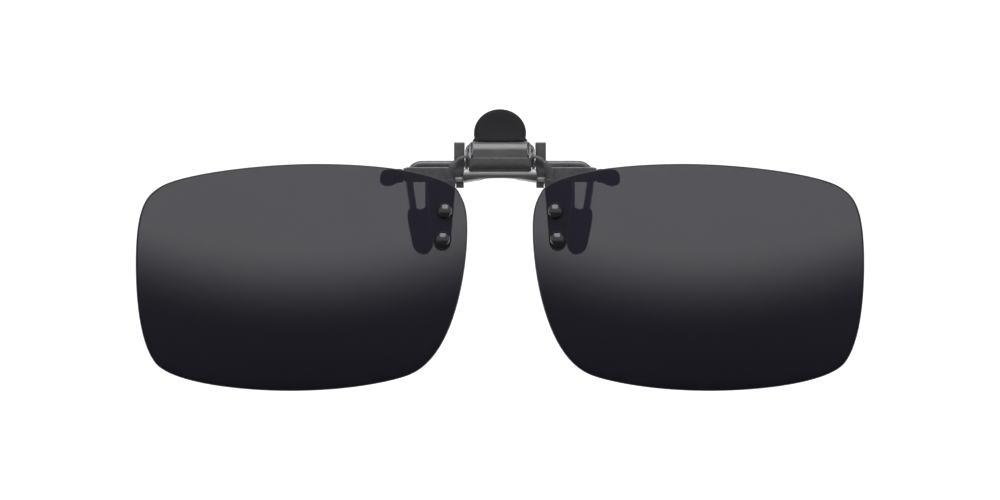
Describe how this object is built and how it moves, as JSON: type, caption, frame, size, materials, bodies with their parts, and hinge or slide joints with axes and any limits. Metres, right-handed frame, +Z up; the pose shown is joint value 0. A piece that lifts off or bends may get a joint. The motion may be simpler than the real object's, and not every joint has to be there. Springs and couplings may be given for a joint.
{
  "type": "clip-on sunglasses",
  "caption": "Flip-up clip-on sunglasses: dark rimless lenses riveted to a metal bridge hinged on a sprung clip with rubber-covered jaws and a thumb pad.",
  "frame": {"origin": "in the plane of symmetry, on the plane in which the two jaws hold the spectacles, level with the hinge pin", "axes": "+X to the wearer's left along the hinge pin, +Y towards the wearer's face, +Z up"},
  "size_m": [0.13, 0.0128, 0.0505],
  "materials": {
    "gunmetal": "satin gunmetal plating",
    "pale_metal": "satin, paler gunmetal plating",
    "dark_metal": "satin, near-black plating",
    "polished_metal": "polished dark chrome",
    "black_rubber": "matt moulded rubber",
    "dark_nylon": "satin moulded nylon",
    "smoke_lens": "dark smoke polarised lens, glossy, see-through"
  },
  "bodies": {
    "front_jaw": {"base_frame": "pale_metal", "hinge_pin": "polished_metal", "torsion_spring": "polished_metal", "friction_washer_left": "polished_metal", "friction_washer_right": "polished_metal", "hook_arm_left": "gunmetal", "hook_arm_right": "gunmetal", "hook_sleeve_left": "black_rubber", "hook_sleeve_right": "black_rubber"},
    "flip_front": {"bridge_plate": "gunmetal", "lens_arm_left": "dark_metal", "lens_arm_right": "dark_metal", "lens_left": "smoke_lens", "lens_right": "smoke_lens", "rivet_left_upper": "polished_metal", "rivet_left_lower": "polished_metal", "rivet_right_upper": "polished_metal", "rivet_right_lower": "polished_metal", "rivet_washer_left_upper": "dark_nylon", "rivet_washer_left_lower": "dark_nylon", "rivet_washer_right_upper": "dark_nylon", "rivet_washer_right_lower": "dark_nylon", "rivet_bushing_left_upper": "dark_nylon", "rivet_bushing_left_lower": "dark_nylon", "rivet_bushing_right_upper": "dark_nylon", "rivet_bushing_right_lower": "dark_nylon"},
    "rear_jaw": {"clamp_lever": "gunmetal", "thumb_pad": "black_rubber", "jaw_wire_left": "gunmetal", "jaw_wire_right": "gunmetal", "rear_pad_left": "black_rubber", "rear_pad_right": "black_rubber"}
  },
  "joints": [
    {"name": "flip", "type": "hinge", "parent": "front_jaw", "child": "flip_front", "pos_m": [0, -0.0019, 0], "axis": [-1, 0, 0], "range_deg": [0, 90]},
    {"name": "clamp", "type": "hinge", "parent": "front_jaw", "child": "rear_jaw", "pos_m": [0, -0.0019, 0], "axis": [1, 0, 0], "range_deg": [0, 25], "stiffness_Nm_per_rad": 0.046, "springref_deg": -18.91}
  ]
}
